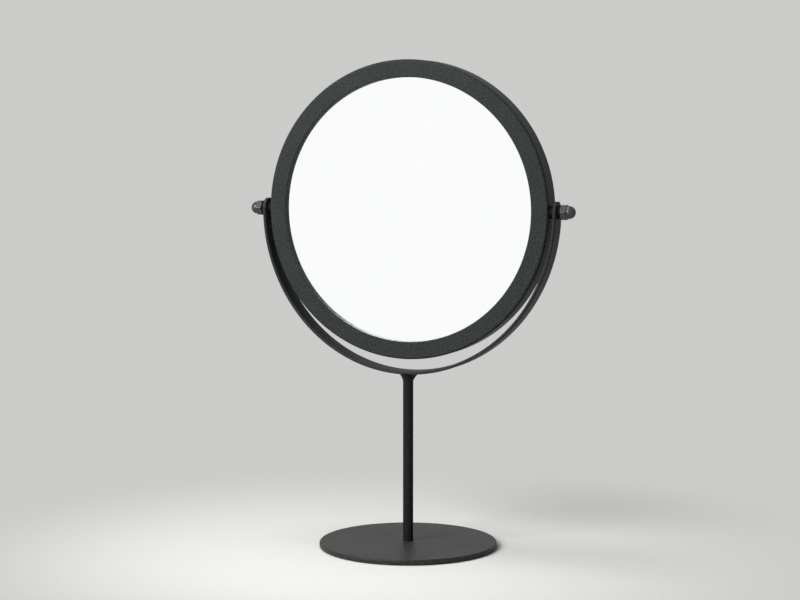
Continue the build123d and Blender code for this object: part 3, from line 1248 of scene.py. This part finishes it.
@dataclass
class Studio:
    """Pale floor, soft light and the camera. Its lengths are in metres, apart from the lens and sensor."""

    floor_radius: float = 0.7
    floor_steps: int = 96
    floor_fade_start: float = 0.10
    floor_fade_end: float = 0.38
    floor_colour: Colour = (0.86, 0.80, 0.785)
    floor_shade: float = 0.97
    floor_speck: float = 3.0
    floor_speck_share: float = 0.03
    floor_tint: float = 0.485
    backdrop: Colour = (0.60, 0.60, 0.59)
    mirrored: Colour = (1.0, 1.0, 1.0)
    mirrored_start: float = 0.2
    mirrored_end: float = -0.4
    ambient: Colour = (0.16, 0.167, 0.167)
    lamp_colour: Colour = (0.93, 1.0, 0.985)
    key_place: Sequence[float] = (-0.62, -1.25, 0.92)
    key_size: float = 1.0
    key_power: float = 34.0
    top_place: Sequence[float] = (-0.35, -0.05, 1.65)
    top_size: float = 0.4
    top_power: float = 7.0
    lens: float = 84.43
    sensor: float = 36.0
    near: float = 0.05
    target: Sequence[float] = (-0.006838, 0.0, 0.1927)
    distance: float = 1.452465
    azimuth: float = 22.391
    elevation: float = 5.025

    def floor(self) -> None:
        """Lays a round floor that fades into the backdrop."""
        disc = bmesh.new()
        bmesh.ops.create_circle(
            disc, cap_ends=True, cap_tris=True, segments=self.floor_steps, radius=self.floor_radius
        )
        mesh = bpy.data.meshes.new("floor")
        disc.to_mesh(mesh)
        disc.free()
        material = bpy.data.materials.new("pale_floor")
        graph = SurfaceGraph.emptied(material)
        tint = graph.noise(self.floor_speck) * self.floor_speck_share + self.floor_tint
        paint = graph.between(tuple(c * self.floor_shade for c in self.floor_colour), self.floor_colour, tint)
        shader = graph.wire("ShaderNodeBsdfDiffuse", {"Color": paint})
        clear = graph.wire("ShaderNodeBsdfTransparent")
        out = graph.wire("ShaderNodeVectorMath", {0: graph.place()}, "Value", operation="LENGTH")
        fade = graph.ramp(out, self.floor_fade_start, self.floor_fade_end, interpolation_type="SMOOTHSTEP")
        mixed = graph.wire("ShaderNodeMixShader", {0: fade, 1: shader, 2: clear})
        graph.node("ShaderNodeOutputMaterial", {"Surface": mixed})
        mesh.materials.append(material)
        Workshop.put("floor", mesh)

    def world(self) -> None:
        """Makes an even soft light. The camera, metal and glass see a pale backdrop behind and white in front."""
        world = bpy.data.worlds.new("studio")
        graph = SurfaceGraph.emptied(world)
        rays = graph.node("ShaderNodeLightPath")
        way = graph.wire("ShaderNodeTexCoord", out="Generated")
        front = graph.ramp(graph.part(way, "Y"), self.mirrored_start, self.mirrored_end)
        surround = graph.between(self.backdrop, self.mirrored, front)
        seen = graph.out(rays, "Is Camera Ray")
        shiny = graph.out(rays, "Is Glossy Ray") + graph.out(rays, "Is Transmission Ray")
        sockets = {"Factor_Float": seen + shiny, "A_Color": (*self.ambient, 1), "B_Color": surround}
        colour = graph.wire("ShaderNodeMix", sockets, "Result_Color", data_type="RGBA")
        sky = graph.wire("ShaderNodeBackground", {"Color": colour, "Strength": 1.0})
        graph.node("ShaderNodeOutputWorld", {"Surface": sky})
        bpy.context.scene.world = world

    def lamp(self, name: str, place: Sequence[float], size: float, power: float) -> None:
        """Hangs a soft square lamp that points at the mirror.

        Args:
            name: its name.
            place: where it hangs, in metres.
            size: its side, in metres.
            power: its power, in watts.
        """
        light = bpy.data.lights.new(name, "AREA")
        light.size = size
        light.energy = power
        light.color = self.lamp_colour
        obj = Workshop.put(name, light)
        obj.location = place
        aim = Vector((0, 0, PIVOT_HEIGHT * MM)) - Vector(place)
        obj.rotation_euler = aim.to_track_quat("-Z", "Y").to_euler()
        obj.visible_camera = False

    def camera(self) -> None:
        """Stands the camera where the photograph was taken from."""
        data = bpy.data.cameras.new("camera")
        data.lens = self.lens
        data.sensor_width = self.sensor
        data.sensor_fit = "HORIZONTAL"
        data.clip_start = self.near
        obj = Workshop.put("camera", data)
        a, e = math.radians(self.azimuth), math.radians(self.elevation)
        back = Vector((math.sin(a) * math.cos(e), -math.cos(a) * math.cos(e), math.sin(e)))
        obj.location = Vector(self.target) + back * self.distance
        obj.rotation_euler = (-back).to_track_quat("-Z", "Y").to_euler()
        bpy.context.scene.camera = obj

    def build(self) -> None:
        """Sets up the studio."""
        self.floor()
        self.world()
        self.lamp("key", self.key_place, self.key_size, self.key_power)
        self.lamp("top", self.top_place, self.top_size, self.top_power)
        self.camera()
        bpy.context.scene.view_settings.view_transform = "Standard"


def main() -> None:
    """Builds the sub-assemblies and the studio in order."""
    logging.basicConfig(level=logging.INFO, format="%(name)s: %(message)s")
    for assembly in (BaseFoot(), YokeStand(), MirrorHead(), TiltPivot(), Studio()):
        log.info("building %s", type(assembly).__name__)
        assembly.build()


if __name__ == "__main__":
    main()
